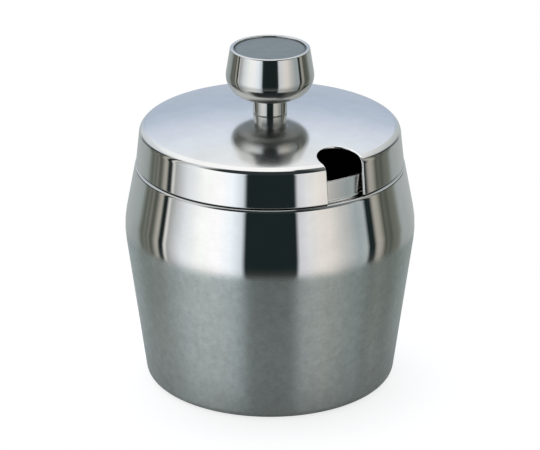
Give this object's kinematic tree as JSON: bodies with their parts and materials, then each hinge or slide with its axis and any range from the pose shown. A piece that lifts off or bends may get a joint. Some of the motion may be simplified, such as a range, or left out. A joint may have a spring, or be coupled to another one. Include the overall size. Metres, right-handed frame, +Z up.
{
  "type": "sugar pot",
  "caption": "Barrel-shaped polished steel sugar pot with a lift-off crowned lid, a spoon notch in the lid's edge and a round knob on a short stem.",
  "frame": {"origin": "centre of the base, on the surface that the pot stands on", "axes": "+Z up along the pot's axis; the lid's spoon notch opens towards -Y, so the pot is symmetric about X = 0"},
  "size_m": [0.08, 0.08, 0.095],
  "materials": {
    "pot_steel": "satin brushed below the belly, mirror polish above",
    "lid_steel": "mirror-polished skirt, soft satin crown",
    "knob_steel": "mirror polish",
    "disc_grey": "fine satin",
    "fixing_steel": "plain bright"
  },
  "bodies": {
    "pot": {"pot_body": "pot_steel"},
    "lid_fixing": {"fixing_screw": "fixing_steel", "head_washer": "fixing_steel", "lid_washer": "fixing_steel", "cap_nut": "fixing_steel"},
    "lid": {"lid_shell": "lid_steel", "knob_stem": "knob_steel", "knob_head": "knob_steel", "knob_disc": "disc_grey"}
  },
  "joints": [
    {"name": "lid_lift", "type": "slide", "parent": "pot", "child": "lid_fixing", "axis": [0, 0, 1], "range_m": [0, 0.06]},
    {"name": "lid_turn", "type": "hinge", "parent": "lid_fixing", "child": "lid", "pos_m": [0, 0, 0.0764], "axis": [0, 0, 1], "continuous": true}
  ]
}
